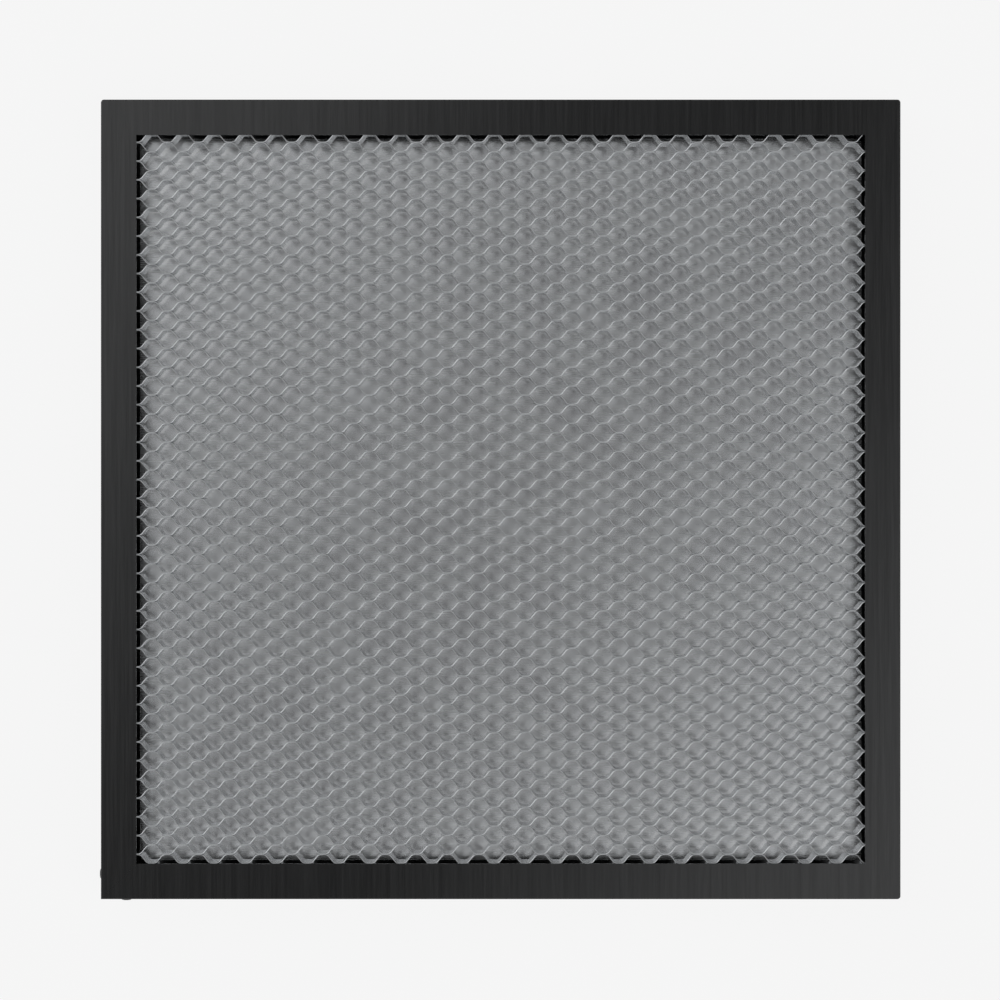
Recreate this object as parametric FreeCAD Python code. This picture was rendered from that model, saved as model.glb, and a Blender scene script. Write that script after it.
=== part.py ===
import FreeCAD, Part
import math
import os

# Honeycomb bed of a desktop laser cutter: a bent channel frame round a foil
# comb, with a loose base plate under it.  Millimetres.  Origin: centre of the
# bed's footprint on the plane that it stands on.  +X right, +Y to the rear,
# +Z up.  The frame's square corner, with bracket and screws, is front-left.

V = FreeCAD.Vector

# ---------------------------------------------------------- shared dimensions
BED = 440.0            # outside of the frame, both ways
SHEET = 1.2            # wall of the frame's profile
PLATE_T = 1.0          # base plate
SKIRT = 7.0            # web below the ledge
CHANNEL_H = 22.0       # channel round the comb, underside of ledge to top
SCREW_IN = 13.0        # screw axis, from the outside of the square corner

HALF = BED / 2.0
WEB = HALF - SHEET                     # bed's centre to the web's inner face
FRAME_Z0 = PLATE_T                     # frame stands on the plate
LEDGE_Z0 = FRAME_Z0 + SKIRT
FRAME_Z1 = LEDGE_Z0 + CHANNEL_H
MID_Z = LEDGE_Z0 + CHANNEL_H / 2.0     # height of the screws and the bracket
SCREW_AT = -HALF + SCREW_IN            # the screws' place along their webs

OVER = 1.0             # how far cutting tools run past the material
OVER_SHORT = 0.5       # the same, inside the channel and at the hex socket
LEVEL_TOL = 1e-6       # height below which an edge counts as level


# -------------------------------------------------------------------- helpers
def write(shape, name):
    os.makedirs("parts", exist_ok=True)
    # repairs a shape that the booleans or fillets left invalid
    if not shape.isValid():
        shape.fix(1e-6, 1e-6, 1e-5)
    shape.exportStep("parts/%s.step" % name)


def square_outline(half, radii, z):
    """Square wire with its own radius at each corner.

    radii: front-left, front-right, rear-right, rear-left; 0 is sharp.
    """
    corners = [V(-half, -half, z), V(half, -half, z), V(half, half, z), V(-half, half, z)]
    runs = [V(1, 0, 0), V(0, 1, 0), V(-1, 0, 0), V(0, -1, 0)]    # side after each corner
    starts = [corners[i] - runs[i - 1] * radii[i] for i in range(4)]
    ends = [corners[i] + runs[i] * radii[i] for i in range(4)]
    edges = []
    for i, radius in enumerate(radii):
        if radius > 0:
            centre = starts[i] + runs[i] * radius
            towards = corners[i] - centre
            towards.normalize()
            edges.append(Part.Arc(starts[i], centre + towards * radius, ends[i]).toShape())
        edges.append(Part.makeLine(ends[i], starts[(i + 1) % 4]))
    return Part.Wire(edges)


def slab(half, radii, z0, z1):
    return Part.Face(square_outline(half, radii, z0)).extrude(V(0, 0, z1 - z0))


def level_edges(body):
    return [e for e in body.Edges if e.BoundBox.ZMax - e.BoundBox.ZMin < LEVEL_TOL]


def drill_corner(body, diameter, start, length):
    """Cut both screw holes of the square corner: through the left side along
    +X, then through the front side along +Y, each beginning at start."""
    radius = diameter / 2.0
    body = body.cut(Part.makeCylinder(radius, length, V(start, SCREW_AT, MID_Z), V(1, 0, 0)))
    return body.cut(Part.makeCylinder(radius, length, V(SCREW_AT, start, MID_Z), V(0, 1, 0)))


# -------------------------------------------------------------- frame channel
FLANGE_TOP = 19.5      # upper flange, from the outside of the web
FLANGE_LOW = 19.5      # ledge under the comb, from the outside of the web
CORNER_R = 1.7         # outside radius of the three bent corners
FOLD_R = 0.6           # rounding of the outer top and bottom edges
END_GAP = 0.03         # gap where the profile's two ends meet
MITRE_BACK = 0.2       # start of the mitre slit, into the front web
MITRE_PAST = 4.0       # extra run of the mitre slit beyond the ledge's width
HOLE_D = 4.5           # clearance hole for a screw


def end_joint_cuts():
    """Gaps between the profile's two ends: a slit through the front web, just
    inside the left web, and a diagonal slit that mitres the flanges."""
    z0 = FRAME_Z0 - OVER
    height = FRAME_Z1 + OVER - z0
    web_slit = Part.makeBox(END_GAP, SHEET + OVER, height, V(-WEB, -HALF - OVER, z0))
    reach = SHEET + END_GAP / 2.0 + FLANGE_LOW + MITRE_PAST
    y = -WEB - MITRE_BACK
    outline = [V(-WEB, y, z0),
               V(-WEB + END_GAP, y, z0),
               V(-WEB + END_GAP + reach, y + reach, z0),
               V(-WEB + reach, y + reach, z0)]
    mitre_slit = Part.Face(Part.makePolygon(outline + [outline[0]])).extrude(V(0, 0, height))
    return [web_slit, mitre_slit]


def frame_channel():
    """One length of channel with a skirt below it, bent at three corners.

    Its ends meet at the front-left corner, which stays square.
    """
    body = slab(HALF, [0.0] + [CORNER_R] * 3, FRAME_Z0, FRAME_Z1)
    body = body.makeFillet(FOLD_R, level_edges(body))
    # hollow the channel, then the space inside the skirt
    inner = [0.0] + [CORNER_R - SHEET] * 3
    body = body.cut(slab(WEB, inner, LEDGE_Z0 + SHEET, FRAME_Z1 - SHEET))
    body = body.cut(slab(WEB, inner, FRAME_Z0 - OVER, LEDGE_Z0))
    # openings that leave the upper flange and the ledge
    square = [0.0] * 4
    body = body.cut(slab(HALF - FLANGE_TOP, square,
                         FRAME_Z1 - SHEET - OVER_SHORT, FRAME_Z1 + OVER))
    body = body.cut(slab(HALF - FLANGE_LOW, square,
                         LEDGE_Z0 - OVER_SHORT, LEDGE_Z0 + SHEET + OVER_SHORT))
    for slit in end_joint_cuts():
        body = body.cut(slit)
    return drill_corner(body, HOLE_D, -HALF - OVER, SHEET + 2.0 * OVER)


# ------------------------------------------------------------- corner bracket
SCREW_D = 4.0          # also the bracket's bore

BRACKET_LEG = 20.0
BRACKET_T = 2.0
BRACKET_H = 14.0
BRACKET_R = 2.4        # outside radius of the bend
BRACKET_END_R = 0.4    # rounding of the upright edges at the legs' ends
BRACKET_GAP = 0.05     # bracket to the webs
EDGE_TOL = 0.01        # slack when picking the bracket's edges


def corner_bracket():
    """L bracket inside the square corner, with bores for the two screws."""
    corner = -WEB + BRACKET_GAP        # x and y of its outer faces
    z0 = MID_Z - BRACKET_H / 2.0
    leg, thick, bend = BRACKET_LEG, BRACKET_T, BRACKET_R

    def at(x, y):
        return V(corner + x, corner + y, z0)

    def bend_mid(radius):
        mid = bend - radius * math.sin(math.pi / 4)
        return at(mid, mid)

    def lines(points):
        return [Part.makeLine(a, b) for a, b in zip(points, points[1:])]

    edges = lines([at(bend, 0), at(leg, 0), at(leg, thick), at(bend, thick)])
    edges.append(Part.Arc(at(bend, thick), bend_mid(bend - thick), at(thick, bend)).toShape())
    edges += lines([at(thick, bend), at(thick, leg), at(0, leg), at(0, bend)])
    edges.append(Part.Arc(at(0, bend), bend_mid(bend), at(bend, 0)).toShape())
    body = Part.Face(Part.Wire(edges)).extrude(V(0, 0, BRACKET_H))

    far = corner + leg - EDGE_TOL
    leg_ends = [e for e in body.Edges
                if e.BoundBox.ZMax - e.BoundBox.ZMin > BRACKET_H - EDGE_TOL
                and (e.BoundBox.XMax > far or e.BoundBox.YMax > far)]
    body = body.makeFillet(BRACKET_END_R, leg_ends)
    return drill_corner(body, SCREW_D, corner - OVER, thick + 2.0 * OVER)


# --------------------------------------------------------------------- screws
SCREW_L = 6.0
SHANK_CLEAR = 0.02     # shank's radius below the nominal
TIP_CHAMFER = 0.4
HEAD_D = 7.0
HEAD_H = 1.55
HEAD_CHAMFER = 0.1     # under the head's rim
HEAD_RIM = 0.45        # underside of the head to the start of the crown
CROWN_FLAT_R = 2.0     # radius of the flat on the crown
CROWN_BULGE = 0.22     # rise of the crown's arc over its chord
HEX_AF = 2.5           # socket, across flats
HEX_DEPTH = 1.0
HEAD_GAP = 0.02        # head to the web


def button_screw():
    """M4 low button-head screw along +X: shank tip at +SCREW_L, head at x < 0."""
    shank_r = SCREW_D / 2.0 - SHANK_CLEAR
    head_r = HEAD_D / 2.0
    rim = V(-HEAD_RIM, head_r, 0)
    crown = V(-HEAD_H, CROWN_FLAT_R, 0)
    outward = V(crown.y - rim.y, rim.x - crown.x, 0)
    outward.normalize()
    crown_mid = (rim + crown) * 0.5 + outward * CROWN_BULGE

    # half profile: x along the axis, y the radius
    under = [V(0, 0, 0),
             V(SCREW_L, 0, 0),
             V(SCREW_L, shank_r - TIP_CHAMFER, 0),
             V(SCREW_L - TIP_CHAMFER, shank_r, 0),
             V(0, shank_r, 0),
             V(0, head_r - HEAD_CHAMFER, 0),
             V(-HEAD_CHAMFER, head_r, 0),
             rim]
    edges = [Part.makeLine(a, b) for a, b in zip(under, under[1:])]
    edges += [Part.Arc(rim, crown_mid, crown).toShape(),
              Part.makeLine(crown, V(-HEAD_H, 0, 0)),
              Part.makeLine(V(-HEAD_H, 0, 0), V(0, 0, 0))]
    body = Part.Face(Part.Wire(edges)).revolve(V(0, 0, 0), V(1, 0, 0), 360)

    hex_r = HEX_AF / math.sqrt(3.0)    # centre to a corner of the hexagon
    hexagon = [V(-HEAD_H - OVER_SHORT,
                 hex_r * math.cos(math.radians(60 * i)),
                 hex_r * math.sin(math.radians(60 * i))) for i in range(6)]
    socket = Part.Face(Part.makePolygon(hexagon + [hexagon[0]])).extrude(
        V(HEX_DEPTH + OVER_SHORT, 0, 0))
    return body.cut(socket)


def corner_screws():
    """One screw through the left web and one through the front web."""
    seat = -HALF - HEAD_GAP
    screw = button_screw()
    screws = []
    for where, turn in ((V(seat, SCREW_AT, MID_Z), 0), (V(SCREW_AT, seat, MID_Z), 90)):
        copy = screw.copy()
        copy.rotate(V(0, 0, 0), V(0, 0, 1), turn)
        copy.translate(where)
        screws.append(copy)
    return Part.makeCompound(screws)


# ------------------------------------------------------------------ foil comb
PITCH_X = 8.573        # column pitch of the comb
PITCH_Y = 10.315       # cell pitch along a column
FOIL_T = 0.42          # foil thickness
GLUE = 0.03            # glue line between two ribbons at a node
WAVE_R = 2.8           # bend radius of the foil's centre line
WAVE_ANGLE = 51.0      # flank angle of the foil, degrees
NODE_X = 0.695         # where the comb's columns lie across the bed
NODE_Y = 0.55          # where the comb's rows lie
CORE_GAP = 0.1         # comb to ledge and to top flange
CORE_X = 212.6         # half length of a ribbon
ROWS = 82              # ribbons
CLIP_TOL = 1e-6        # slack when dropping edges beyond a ribbon's ends

COMB_Z0 = LEDGE_Z0 + SHEET + CORE_GAP
COMB_Z1 = FRAME_Z1 - SHEET - CORE_GAP

ANGLE = math.radians(WAVE_ANGLE)
BEND_DX = WAVE_R * math.sin(ANGLE)               # extent of one bend along x
BEND_DY = WAVE_R * (1.0 - math.cos(ANGLE))       # extent of one bend along y
AMP = (PITCH_Y / 2.0 - FOIL_T - GLUE) / 2.0      # centre line's half height
FLANK = (2.0 * AMP - 2.0 * BEND_DY) / math.sin(ANGLE)
FLAT = PITCH_X - 2.0 * BEND_DX - FLANK * math.cos(ANGLE)


def wave_side(sign, off):
    """Edges of one side of a ribbon, left to right, cut off at its two ends.

    sign is 1 for a crest at the wave's centre, -1 for a trough.  The side
    lies off from the centre line.  Each half wave is a flat at its crest or
    trough, a bend, a straight flank and the next bend.
    """
    left, right = -CORE_X, CORE_X
    edges = []

    def line(x0, y0, x1, y1):
        if x1 <= left + CLIP_TOL or x0 >= right - CLIP_TOL:
            return
        slope = (y1 - y0) / (x1 - x0)
        if x0 < left:
            x0, y0 = left, y0 + slope * (left - x0)
        if x1 > right:
            x1, y1 = right, y0 + slope * (right - x0)
        edges.append(Part.makeLine(V(x0, y0, COMB_Z0), V(x1, y1, COMB_Z0)))

    def bend(cx, cy, radius, a0, a1):
        def at(angle):
            return V(cx + radius * math.cos(angle), cy + radius * math.sin(angle), COMB_Z0)
        if at(a1).x <= left + CLIP_TOL or at(a0).x >= right - CLIP_TOL:
            return
        side = 1.0 if (a0 + a1) > 0 else -1.0
        if at(a0).x < left:
            a0 = side * math.acos((left - cx) / radius)
        if at(a1).x > right:
            a1 = side * math.acos((right - cx) / radius)
        edges.append(Part.Arc(at(a0), at((a0 + a1) / 2.0), at(a1)).toShape())

    quarter = math.pi / 2.0
    centre = NODE_X + PITCH_X / 2.0
    first = int(math.floor((left - centre) / PITCH_X)) - 1
    last = int(math.ceil((right - centre) / PITCH_X)) + 1
    for k in range(first, last + 1):
        up = sign if k % 2 == 0 else -sign       # 1 at a crest, -1 at a trough
        x, y = centre + k * PITCH_X, up * AMP
        line(x - FLAT / 2.0, y + off, x + FLAT / 2.0, y + off)
        bend(x + FLAT / 2.0, y - up * WAVE_R, WAVE_R + up * off,
             up * quarter, up * (quarter - ANGLE))
        flank_x = x + FLAT / 2.0 + BEND_DX + up * math.sin(ANGLE) * off
        flank_y = y - up * BEND_DY + math.cos(ANGLE) * off
        line(flank_x, flank_y,
             flank_x + FLANK * math.cos(ANGLE), flank_y - up * FLANK * math.sin(ANGLE))
        bend(x + PITCH_X - FLAT / 2.0, -y + up * WAVE_R, WAVE_R - up * off,
             -up * (quarter + ANGLE), -up * quarter)
    return edges


def ribbon(sign):
    """One foil ribbon about its own centre line at y = 0."""
    upper = wave_side(sign, FOIL_T / 2.0)
    lower = wave_side(sign, -FOIL_T / 2.0)

    def end_line(upper_edge, lower_edge, pick):
        return Part.makeLine(*[pick(e.Vertexes, key=lambda v: v.X).Point
                               for e in (upper_edge, lower_edge)])

    edges = upper + [end_line(upper[-1], lower[-1], max)]
    edges += lower[::-1] + [end_line(upper[0], lower[0], min)]
    wire = Part.Wire(Part.sortEdges(edges)[0])
    return Part.Face(wire).extrude(V(0, 0, COMB_Z1 - COMB_Z0))


def foil_ribbons(first, sign):
    """Every second ribbon, from row first (0 is the front row) to the rear."""
    master = ribbon(sign)
    ribbons = []
    for row in range(first, ROWS, 2):
        copy = master.copy()
        copy.translate(V(0, NODE_Y + (row - (ROWS - 1) / 2.0) * PITCH_Y / 2.0, 0))
        ribbons.append(copy)
    return Part.makeCompound(ribbons)


# ----------------------------------------------------------------- base plate
PLATE_IN = 0.2         # plate's edge, inside the frame's outline
PLATE_R = 2.0          # corner radius
PLATE_EDGE_R = 0.15    # rounding of the top and bottom rims


def base_plate():
    body = slab(HALF - PLATE_IN, [PLATE_R] * 4, 0.0, PLATE_T)
    return body.makeFillet(PLATE_EDGE_R, level_edges(body))


write(frame_channel(), "frame_channel")
write(corner_bracket(), "corner_bracket")
write(corner_screws(), "corner_screws")
write(foil_ribbons(0, 1), "foil_ribbons_odd")
write(foil_ribbons(1, -1), "foil_ribbons_even")
write(base_plate(), "base_plate")
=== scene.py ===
"""A honeycomb bed of wavy foil ribbons, with its channel frame, bracket, screws and plate.

It lies flat and is seen from straight above, Z up.  Each ribbon runs along X, and the
ribbons are spaced along Y; left is -X and front is -Y.  Comb sizes are in millimetres,
stage, light and camera sizes in metres.
"""
import bpy
import math
import numpy as np
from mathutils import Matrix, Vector


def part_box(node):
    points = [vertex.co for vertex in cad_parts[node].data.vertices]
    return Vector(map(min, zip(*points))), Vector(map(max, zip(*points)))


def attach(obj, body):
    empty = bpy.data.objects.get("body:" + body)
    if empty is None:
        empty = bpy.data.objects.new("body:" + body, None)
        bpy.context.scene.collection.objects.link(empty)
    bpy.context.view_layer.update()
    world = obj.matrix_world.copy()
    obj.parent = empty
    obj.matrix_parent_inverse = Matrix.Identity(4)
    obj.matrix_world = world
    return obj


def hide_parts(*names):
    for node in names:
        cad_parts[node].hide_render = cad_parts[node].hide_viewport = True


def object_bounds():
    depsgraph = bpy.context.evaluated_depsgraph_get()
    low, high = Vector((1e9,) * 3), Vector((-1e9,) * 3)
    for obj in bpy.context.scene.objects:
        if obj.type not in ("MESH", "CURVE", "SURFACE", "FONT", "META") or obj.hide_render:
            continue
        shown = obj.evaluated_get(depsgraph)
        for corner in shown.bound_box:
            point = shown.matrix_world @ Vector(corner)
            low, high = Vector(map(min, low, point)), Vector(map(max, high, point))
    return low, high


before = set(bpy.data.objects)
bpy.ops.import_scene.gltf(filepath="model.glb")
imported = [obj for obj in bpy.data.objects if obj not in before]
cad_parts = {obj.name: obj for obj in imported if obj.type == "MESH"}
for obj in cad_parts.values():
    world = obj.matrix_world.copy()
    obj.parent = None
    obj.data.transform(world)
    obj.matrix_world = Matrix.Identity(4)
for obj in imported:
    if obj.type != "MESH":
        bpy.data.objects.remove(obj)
cad_lo, cad_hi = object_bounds()
MM = 0.001

# ---------------------------------------------------------------- comb, mm
COLUMN_PITCH = 8.573      # along X
CELL_PITCH = 10.315       # along Y
RIBBON_PITCH = CELL_PITCH / 2.0
RIBBONS = 82
FOIL_THICK = 0.42
GLUE_GAP = 0.03
WAVE_HALF_HEIGHT = (RIBBON_PITCH - FOIL_THICK - GLUE_GAP) / 2.0
BEND_RADIUS = 2.8         # of the centre line
BEND_ANGLE = math.radians(51.0)
BEND_STEPS = 5
CREST_POINT = 0.30        # extra point on a crest's flat, as a share of the flat
TROUGH_POINT = 0.20       # the same on a trough's flat
END_GAP = 0.12            # least distance from a wave point to a ribbon's end
COMB_SHIFT_X = 0.695
COMB_SHIFT_Y = 0.55
CREST_X = COMB_SHIFT_X + COLUMN_PITCH / 2.0

SHARP_ANGLE = math.radians(35.0)    # CAD edges steeper than this stay sharp

# ---------------------------------------------------------------- stage and light, m
FLOOR_HALF = 12.0
FLOOR_Z = -0.0002
LIGHT_OFFSET = 0.95 * 0.707         # along X and along Y
LIGHT_Z = 1.6
LIGHT_SIZE = 1.2
LIGHT_WATTS = 0.44
LIGHT_LEAN = 0.35                   # inward lean of the beam for each unit down

# World: strengths of its glow
SKY_GLOW = 0.122
PANEL_GLOW = 0.99
WALL_GLOW = 0.39
WALL_DIM = 0.50                     # share lost by the walls beside the panels
PANEL_X, PANEL_Y = -0.848, 0.530    # level direction of one panel

VIEW_WIDTH = 0.55013                # width of view at the height of the CAD's top
CAMERA_RISE = 1.84                  # camera above that height
CAMERA_X, CAMERA_Y = -0.00039, -0.00036
SENSOR_WIDTH = 36.0                 # mm


def add_object(name, data):
    obj = bpy.data.objects.new(name, data)
    bpy.context.scene.collection.objects.link(obj)
    return obj


# ---------------------------------------------------------------- shader nodes
class Nodes:
    """A short way to write the node tree of a material or a world."""

    def __init__(self, owner, output_kind="ShaderNodeOutputMaterial"):
        owner.use_nodes = True
        self.owner = owner
        self.tree = owner.node_tree
        self.tree.nodes.clear()
        self.output = self.node(output_kind)

    def node(self, kind, **settings):
        node = self.tree.nodes.new(kind)
        for key, value in settings.items():
            setattr(node, key, value)
        return node

    def put(self, socket, value):
        """Link the socket to another one, or give it a plain value."""
        if isinstance(value, bpy.types.NodeSocket):
            self.tree.links.new(value, socket)
        else:
            socket.default_value = value

    def fill(self, node, *values):
        for socket, value in zip(node.inputs, values):
            self.put(socket, value)
        return node

    def object_point(self):
        return self.node("ShaderNodeTexCoord").outputs["Object"]

    def math(self, operation, *values):
        return self.fill(self.node("ShaderNodeMath", operation=operation), *values).outputs[0]

    def add(self, a, b):
        return self.math("ADD", a, b)

    def multiply(self, a, b):
        return self.math("MULTIPLY", a, b)

    def vector_math(self, operation, a, b, output="Vector"):
        node = self.node("ShaderNodeVectorMath", operation=operation)
        return self.fill(node, a, b).outputs[output]

    def stretched(self, point, by):
        return self.vector_math("MULTIPLY", point, by)

    def remap(self, value, span, to, interpolation="LINEAR"):
        node = self.node("ShaderNodeMapRange", interpolation_type=interpolation)
        return self.fill(node, value, *span, *to).outputs[0]

    def mix_colours(self, factor, low, high):
        node = self.node("ShaderNodeMix", data_type="RGBA")
        self.put(node.inputs[0], factor)
        self.put(node.inputs[6], low)
        self.put(node.inputs[7], high)
        return node.outputs[2]

    def mix_vectors(self, factor, low, high):
        node = self.node("ShaderNodeMix", data_type="VECTOR")
        self.put(node.inputs[0], factor)
        self.put(node.inputs[4], low)
        self.put(node.inputs[5], high)
        return node.outputs[1]

    def normal_part(self, normal, axis):
        """Size of one part (0, 1, 2 for X, Y, Z) of the named surface normal."""
        geometry = self.node("ShaderNodeNewGeometry")
        parts = self.fill(self.node("ShaderNodeSeparateXYZ"), geometry.outputs[normal])
        return self.math("ABSOLUTE", parts.outputs[axis], 0.0)

    def noise(self, point, scale, detail, roughness, distortion=0.0):
        node = self.node("ShaderNodeTexNoise")
        self.put(node.inputs["Vector"], point)
        node.inputs["Scale"].default_value = scale
        node.inputs["Detail"].default_value = detail
        node.inputs["Roughness"].default_value = roughness
        node.inputs["Distortion"].default_value = distortion
        return node.outputs[0]

    def bump(self, height, distance, strength, normal=None):
        node = self.node("ShaderNodeBump")
        self.put(node.inputs["Height"], height)
        node.inputs["Distance"].default_value = distance
        node.inputs["Strength"].default_value = strength
        if normal is not None:
            self.put(node.inputs["Normal"], normal)
        return node.outputs[0]

    def principled(self, **values):
        """Finish with a Principled surface; underscores stand for spaces."""
        node = self.node("ShaderNodeBsdfPrincipled")
        for key, value in values.items():
            self.put(node.inputs[key.replace("_", " ")], value)
        self.put(self.output.inputs[0], node.outputs[0])
        return self.owner


# ---------------------------------------------------------------- materials
MID = (0.3, 0.7)          # the span of noise values most patterns are read over
UNIT = (0.0, 1.0)


def black_brushed():
    """Black sheet, brushed along Y; on faces turned to X the streaks lie level."""
    nodes = Nodes(bpy.data.materials.new("black_brushed_sheet"))
    point = nodes.object_point()
    faces_x = nodes.math("GREATER_THAN", nodes.normal_part("True Normal", axis=0), 0.7)
    # fine variation across the streaks, slow along them
    brushed = nodes.mix_vectors(faces_x,
                                low=nodes.stretched(point, by=(1.0, 0.018, 0.018)),
                                high=nodes.stretched(point, by=(0.0, 0.018, 1.0)))
    fine = nodes.noise(brushed, scale=2600.0, detail=3.0, roughness=0.55)
    wide = nodes.noise(brushed, scale=700.0, detail=2.0, roughness=0.5)
    cloud = nodes.noise(point, scale=9.0, detail=3.0, roughness=0.55)
    streak = nodes.add(nodes.multiply(fine, 0.5), nodes.multiply(wide, 0.5))
    dark = nodes.mix_colours(nodes.remap(streak, span=MID, to=UNIT),
                             low=(0.0058, 0.0058, 0.0059, 1),
                             high=(0.0078, 0.0078, 0.0079, 1))
    colour = nodes.mix_colours(nodes.remap(cloud, span=(0.35, 0.7), to=(0.0, 0.25)),
                               low=dark, high=(0.0085, 0.0085, 0.0087, 1))
    roughness = nodes.add(nodes.remap(streak, span=MID, to=(0.16, 0.20)),
                          nodes.remap(cloud, span=MID, to=(-0.01, 0.01)))
    gloss = nodes.remap(streak, span=(0.35, 0.65), to=(0.42, 0.58))
    return nodes.principled(Base_Color=colour, Metallic=0.0, Roughness=roughness,
                            Normal=nodes.bump(streak, distance=0.00001, strength=0.5),
                            IOR=1.5, Specular_IOR_Level=gloss)


def rolled_foil():
    """Bright foil: smooth rolled sides, rougher and duller top and bottom edges."""
    side_roughness = 0.16
    edge_roughness = 0.16     # added on the edges
    nodes = Nodes(bpy.data.materials.new("rolled_foil"))
    # each ribbon shifts the pattern and the brightness by its own random number
    random = nodes.node("ShaderNodeObjectInfo").outputs["Random"]
    shift = nodes.node("ShaderNodeCombineXYZ")
    nodes.put(shift.inputs["X"], nodes.multiply(random, 7.3))
    nodes.put(shift.inputs["Z"], nodes.multiply(random, 3.1))
    point = nodes.vector_math("ADD", nodes.object_point(), shift.outputs[0])
    grain = nodes.noise(nodes.stretched(point, by=(1.0, 1.0, 9.0)),
                        scale=420.0, detail=3.0, roughness=0.6)
    cloud = nodes.noise(point, scale=55.0, detail=3.0, roughness=0.55)
    base = nodes.mix_colours(nodes.remap(cloud, span=MID, to=UNIT),
                             low=(0.66, 0.672, 0.683, 1), high=(0.72, 0.732, 0.743, 1))
    edge = nodes.remap(nodes.normal_part("Normal", axis=2), span=(0.15, 0.5), to=UNIT)
    brightness = nodes.multiply(nodes.remap(random, span=UNIT, to=(0.97, 1.02)),
                                nodes.remap(edge, span=UNIT, to=(1.0, 0.95)))
    tint = nodes.node("ShaderNodeVectorMath", operation="SCALE")
    nodes.put(tint.inputs[0], base)
    nodes.put(tint.inputs[3], brightness)
    side = nodes.add(
        nodes.remap(grain, span=MID, to=(side_roughness, side_roughness + 0.08)),
        nodes.remap(cloud, span=MID, to=(-0.02, 0.04)))
    roughness = nodes.add(side, nodes.multiply(edge, edge_roughness))
    dents = nodes.bump(cloud, distance=0.0002, strength=0.25)
    return nodes.principled(
        Base_Color=tint.outputs[0], Metallic=1.0, Roughness=roughness,
        Normal=nodes.bump(grain, distance=0.00002, strength=0.4, normal=dents))


def rolled_plate():
    """Grey metal with roll lines along X and faint scuffs along Y."""
    nodes = Nodes(bpy.data.materials.new("rolled_plate"))
    point = nodes.object_point()
    roll = nodes.noise(nodes.stretched(point, by=(0.02, 1.0, 1.0)),
                       scale=1500.0, detail=3.0, roughness=0.6)
    cloud = nodes.noise(point, scale=30.0, detail=4.0, roughness=0.6)
    scuff = nodes.noise(nodes.stretched(point, by=(1.0, 0.15, 1.0)),
                        scale=160.0, detail=4.0, roughness=0.7, distortion=0.6)
    base = nodes.mix_colours(nodes.remap(cloud, span=MID, to=UNIT),
                             low=(0.535, 0.54, 0.545, 1), high=(0.585, 0.59, 0.595, 1))
    colour = nodes.mix_colours(nodes.remap(scuff, span=(0.62, 0.72), to=(0.0, 0.35)),
                               low=base, high=(0.50, 0.50, 0.505, 1))
    roughness = nodes.add(nodes.remap(roll, span=MID, to=(0.25, 0.28)),
                          nodes.remap(cloud, span=MID, to=(-0.02, 0.03)))
    dents = nodes.bump(cloud, distance=0.00002, strength=0.15)
    return nodes.principled(
        Base_Color=colour, Metallic=1.0, Roughness=roughness,
        Normal=nodes.bump(roll, distance=0.000002, strength=0.2, normal=dents))


def zinc():
    """Zinc coating with a cellular spangle."""
    nodes = Nodes(bpy.data.materials.new("zinc_bracket"))
    point = nodes.object_point()
    spangle = nodes.node("ShaderNodeTexVoronoi")
    nodes.put(spangle.inputs["Vector"], point)
    spangle.inputs["Scale"].default_value = 420.0
    cloud = nodes.noise(point, scale=160.0, detail=4.0, roughness=0.6)
    tone = nodes.multiply(spangle.outputs["Distance"], 0.9)
    base = nodes.mix_colours(nodes.remap(tone, span=(0.0, 0.6), to=UNIT),
                             low=(0.50, 0.51, 0.52, 1), high=(0.62, 0.63, 0.64, 1))
    return nodes.principled(Base_Color=base, Metallic=1.0,
                            Roughness=nodes.remap(cloud, span=MID, to=(0.30, 0.48)),
                            Normal=nodes.bump(cloud, distance=0.00004, strength=0.5))


def black_oxide():
    """Dull black coating with a fine uneven surface."""
    nodes = Nodes(bpy.data.materials.new("black_oxide_screw"))
    point = nodes.object_point()
    cloud = nodes.noise(point, scale=900.0, detail=3.0, roughness=0.6)
    fine = nodes.noise(point, scale=2600.0, detail=2.0, roughness=0.5)
    base = nodes.mix_colours(nodes.remap(cloud, span=(0.35, 0.7), to=UNIT),
                             low=(0.006, 0.006, 0.0063, 1), high=(0.012, 0.0118, 0.0115, 1))
    return nodes.principled(Base_Color=base, Metallic=0.0,
                            Roughness=nodes.remap(cloud, span=MID, to=(0.30, 0.46)),
                            Specular_IOR_Level=0.22,
                            Normal=nodes.bump(fine, distance=0.00001, strength=0.5))


def pale_floor():
    """A nearly even glow with a weak diffuse part."""
    nodes = Nodes(bpy.data.materials.new("pale_floor"))
    cloud = nodes.noise(nodes.object_point(), scale=3.0, detail=3.0, roughness=0.5)
    glow = nodes.node("ShaderNodeEmission")
    nodes.put(glow.inputs["Color"], nodes.mix_colours(cloud, low=(0.915, 0.915, 0.915, 1),
                                                      high=(0.925, 0.925, 0.925, 1)))
    glow.inputs["Strength"].default_value = 0.97
    diffuse = nodes.node("ShaderNodeBsdfDiffuse")
    diffuse.inputs["Color"].default_value = (0.03, 0.03, 0.03, 1)
    both = nodes.fill(nodes.node("ShaderNodeAddShader"), glow.outputs[0], diffuse.outputs[0])
    nodes.put(nodes.output.inputs[0], both.outputs[0])
    return nodes.owner


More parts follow.
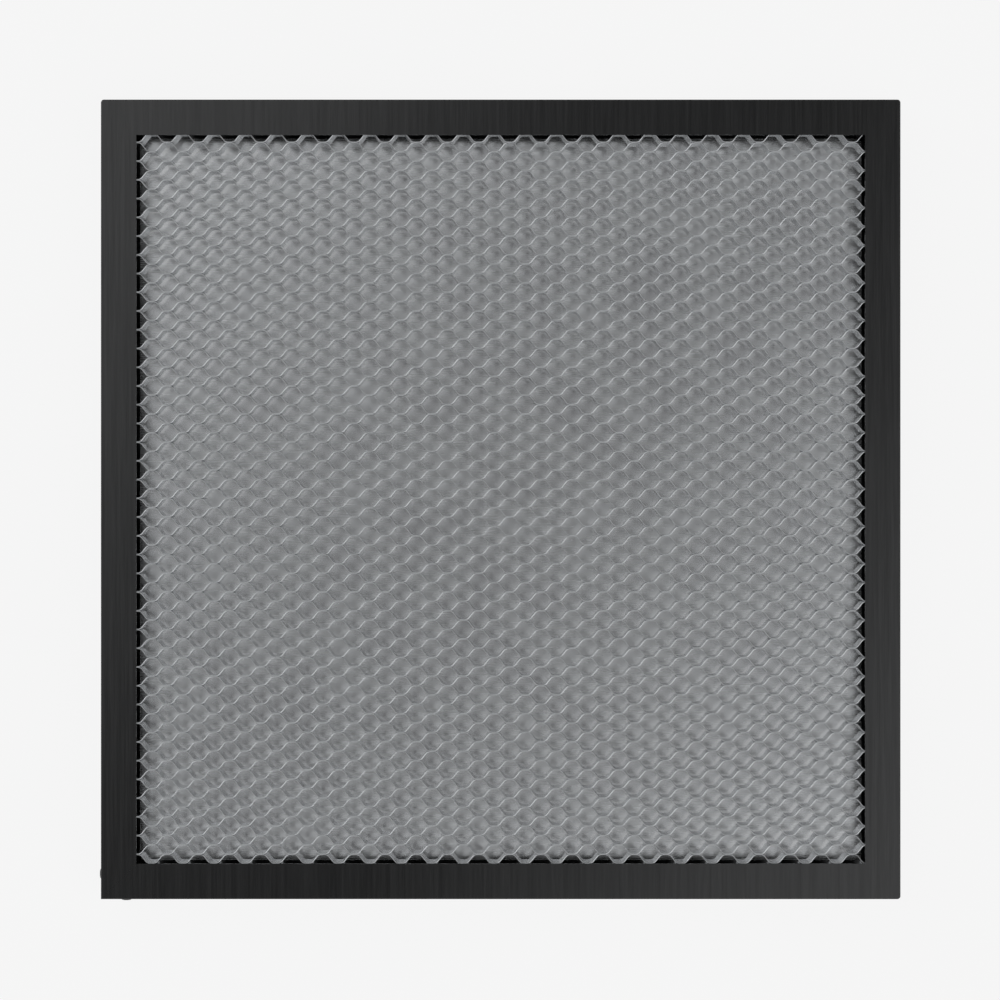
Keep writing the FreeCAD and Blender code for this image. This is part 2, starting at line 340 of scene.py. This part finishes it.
# ---------------------------------------------------------------- foil ribbons
def half_wave():
    """Centre line from mid-crest towards mid-trough, as (x, y, direction angle)."""
    sin_bend = math.sin(BEND_ANGLE)
    cos_bend = math.cos(BEND_ANGLE)
    height = 2.0 * WAVE_HALF_HEIGHT
    flank = (height - 2.0 * BEND_RADIUS * (1.0 - cos_bend)) / sin_bend
    flat = COLUMN_PITCH - (2.0 * BEND_RADIUS * sin_bend + flank * cos_bend)
    points = [(0.0, WAVE_HALF_HEIGHT, 0.0), (flat * CREST_POINT, WAVE_HALF_HEIGHT, 0.0)]
    for i in range(BEND_STEPS + 1):
        angle = BEND_ANGLE * i / BEND_STEPS
        points.append((flat / 2 + BEND_RADIUS * math.sin(angle),
                       WAVE_HALF_HEIGHT - BEND_RADIUS * (1 - math.cos(angle)), -angle))
    flank_end = flat / 2 + BEND_RADIUS * sin_bend + flank * cos_bend
    for i in range(BEND_STEPS + 1):
        angle = BEND_ANGLE * (1 - i / BEND_STEPS)
        points.append((flank_end + BEND_RADIUS * (sin_bend - math.sin(angle)),
                       -WAVE_HALF_HEIGHT + BEND_RADIUS * (1 - math.cos(angle)), -angle))
    points.append((COLUMN_PITCH - flat * TROUGH_POINT, -WAVE_HALF_HEIGHT, 0.0))
    return points


def centre_line(x_min, x_max):
    """Array of (x, y, direction angle) along a ribbon with a crest at CREST_X."""
    half = half_wave()
    # columns of the half wave, closed at mid-trough
    half_x, half_y, half_angle = zip(*half, (COLUMN_PITCH, -WAVE_HALF_HEIGHT, 0.0))

    def flip(column):
        """Every other half wave is turned upside down."""
        return 1.0 if column % 2 == 0 else -1.0

    def end_point(x):
        columns = (x - CREST_X) / COLUMN_PITCH
        column = math.floor(columns)
        along = (columns - column) * COLUMN_PITCH
        return (x, float(np.interp(along, half_x, half_y)) * flip(column),
                float(np.interp(along, half_x, half_angle)) * flip(column))

    first = math.floor((x_min - CREST_X) / COLUMN_PITCH) - 1
    last = math.ceil((x_max - CREST_X) / COLUMN_PITCH) + 1
    points = [end_point(x_min)]
    for column in range(first, last):
        for along, y, angle in half:
            x = CREST_X + column * COLUMN_PITCH + along
            if x_min + END_GAP < x < x_max - END_GAP:
                points.append((x, y * flip(column), angle * flip(column)))
    points.append(end_point(x_max))
    return np.array(points)


def ribbon_mesh(name, sign, low, high):
    """A closed strip of foil between two corners: rounded edges, square ends."""
    line = centre_line(low.x / MM, high.x / MM)
    x = line[:, 0]
    y = line[:, 1] * sign
    angle = line[:, 2] * sign
    normal_x, normal_y = -np.sin(angle), np.cos(angle)
    radius = FOIL_THICK / 2.0
    # the section's two rounds: height of the round's centre, degrees around it
    rounds = ((high.z / MM - radius, range(0, 181, 45)),
              (low.z / MM + radius, range(180, 361, 45)))
    section = [(z, math.radians(d)) for z, degrees in rounds for d in degrees]
    size, count = len(section), len(x)
    points = np.zeros((count, size, 3))
    normals = np.zeros((count, size, 3))
    for j, (z, turn) in enumerate(section):
        out, up = math.cos(turn), math.sin(turn)
        points[:, j, 0] = x + normal_x * (out * radius)
        points[:, j, 1] = y + normal_y * (out * radius)
        points[:, j, 2] = z + up * radius
        normals[:, j, 0] = normal_x * out
        normals[:, j, 1] = normal_y * out
        normals[:, j, 2] = up
    faces = []
    for i in range(count - 1):
        here, there = i * size, (i + 1) * size
        for j in range(size):
            k = (j + 1) % size
            faces.append((here + j, here + k, there + k, there + j))
    faces.append(tuple(reversed(range(size))))
    faces.append(tuple((count - 1) * size + j for j in range(size)))
    mesh = bpy.data.meshes.new(name)
    mesh.from_pydata((points.reshape(-1, 3) * MM).tolist(), [], faces)
    mesh.polygons.foreach_set("use_smooth", [True] * len(mesh.polygons))
    mesh.update()
    mesh.normals_split_custom_set_from_vertices(normals.reshape(-1, 3).tolist())
    return mesh


def build_comb():
    """Odd ribbons and their mirrored even neighbours, each set sharing one mesh."""
    material = rolled_foil()
    low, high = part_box("foil_ribbons_odd")
    for first, (parity, sign) in enumerate((("odd", 1), ("even", -1))):
        mesh = ribbon_mesh("foil_strip_" + parity, sign, low, high)
        mesh.materials.append(material)
        for i in range(first, RIBBONS, 2):
            y = COMB_SHIFT_Y + (i - (RIBBONS - 1) / 2.0) * RIBBON_PITCH
            ribbon = add_object("foil_ribbon_%02d" % (i + 1), mesh)
            ribbon.location = (0.0, y * MM, 0.0)
            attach(ribbon, "bed")
            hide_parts("foil_ribbons_" + parity)


# ---------------------------------------------------------------- CAD pieces
def finish_cad(name, material):
    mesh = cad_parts[name].data
    mesh.materials.clear()
    mesh.materials.append(material)
    mesh.polygons.foreach_set("use_smooth", [True] * len(mesh.polygons))
    mesh.set_sharp_from_angle(angle=SHARP_ANGLE)
    mesh.update()


# ---------------------------------------------------------------- stage
def build_floor():
    mesh = bpy.data.meshes.new("floor")
    corners = [(x * FLOOR_HALF, y * FLOOR_HALF, 0)
               for x, y in ((-1, -1), (1, -1), (1, 1), (-1, 1))]
    mesh.from_pydata(corners, [], [(0, 1, 2, 3)])
    mesh.materials.append(pale_floor())
    floor = add_object("floor", mesh)
    floor.location = (0, 0, FLOOR_Z)


def softbox(name, side_x, side_y):
    """A square light above one corner of the stage, leaning inward."""
    light = bpy.data.lights.new(name, "AREA")
    light.shape = "RECTANGLE"
    light.size = LIGHT_SIZE
    light.size_y = LIGHT_SIZE
    light.energy = LIGHT_WATTS
    box = add_object(name, light)
    box.location = (side_x * LIGHT_OFFSET, side_y * LIGHT_OFFSET, LIGHT_Z)
    box.rotation_mode = "QUATERNION"
    outward = Vector((side_x, side_y, 0)).normalized()
    beam = Vector((-outward.x * LIGHT_LEAN, -outward.y * LIGHT_LEAN, -1))
    box.rotation_quaternion = beam.to_track_quat("-Z", "Y")
    box.visible_camera = False


def build_world():
    """A soft tent, darker straight above, with two glowing panels facing each other."""
    world = bpy.data.worlds.new("studio")
    bpy.context.scene.world = world
    nodes = Nodes(world, "ShaderNodeOutputWorld")
    view = nodes.node("ShaderNodeTexCoord").outputs["Generated"]

    def lean_along(axis):
        """How far the view leans along a level axis, either way."""
        dot = nodes.vector_math("DOT_PRODUCT", view, axis, output="Value")
        return nodes.math("ABSOLUTE", dot)

    def rise(value, span, amount):
        return nodes.remap(value, span=span, to=(0.0, amount), interpolation="SMOOTHSTEP")

    def combine(operation, a, b, c=0.0):
        return nodes.math(operation, a, b, c)

    def less(value, share):
        """1 where value is 0, falling to 1 - share where value is 1."""
        return combine("MULTIPLY_ADD", value, -share, 1.0)

    reach = rise(lean_along((PANEL_X, PANEL_Y, 0.0)), span=(0.034, 0.150), amount=1.0)
    aside = rise(lean_along((PANEL_Y, -PANEL_X, 0.0)), span=(0.20, 0.60), amount=1.0)
    panels = combine("MULTIPLY", combine("MULTIPLY", reach, less(aside, 1.0)), PANEL_GLOW)
    up = nodes.fill(nodes.node("ShaderNodeSeparateXYZ"), view).outputs[2]
    tilt = nodes.math("SUBTRACT", 1.0, up)
    walls = combine("MULTIPLY", rise(tilt, span=(0.018, 0.16), amount=WALL_GLOW),
                    less(aside, WALL_DIM))
    glow = combine("ADD", combine("ADD", SKY_GLOW, walls), panels)

    # the camera sees an even backdrop; everything else sees the tent
    tent = nodes.node("ShaderNodeBackground")
    nodes.fill(tent, (0.98, 0.99, 1.0, 1), glow)
    backdrop = nodes.node("ShaderNodeBackground")
    nodes.fill(backdrop, (0.93, 0.93, 0.93, 1))
    camera_ray = nodes.node("ShaderNodeLightPath").outputs["Is Camera Ray"]
    mix = nodes.node("ShaderNodeMixShader")
    nodes.fill(mix, camera_ray, tent.outputs[0], backdrop.outputs[0])
    nodes.put(nodes.output.inputs[0], mix.outputs[0])


def build_camera():
    """A new camera already looks straight down, so it is only moved."""
    data = bpy.data.cameras.new("camera")
    data.sensor_width = SENSOR_WIDTH
    data.lens = SENSOR_WIDTH * CAMERA_RISE / VIEW_WIDTH
    data.clip_start = 0.05
    data.clip_end = 100.0
    camera = add_object("camera", data)
    camera.location = (CAMERA_X, CAMERA_Y, cad_hi.z + CAMERA_RISE)
    bpy.context.scene.camera = camera


def set_render():
    scene = bpy.context.scene
    scene.view_settings.view_transform = "Standard"
    scene.view_settings.look = "None"
    # light reaches the bottom of the cells over many reflections
    scene.cycles.max_bounces = 24
    scene.cycles.glossy_bounces = 24
    scene.cycles.diffuse_bounces = 4


build_comb()
finish_cad("frame_channel", black_brushed())
finish_cad("corner_bracket", zinc())
finish_cad("corner_screws", black_oxide())
finish_cad("base_plate", rolled_plate())
build_floor()
softbox("softbox_rear_left", side_x=-1, side_y=1)
softbox("softbox_front_right", side_x=1, side_y=-1)
build_world()
build_camera()
set_render()
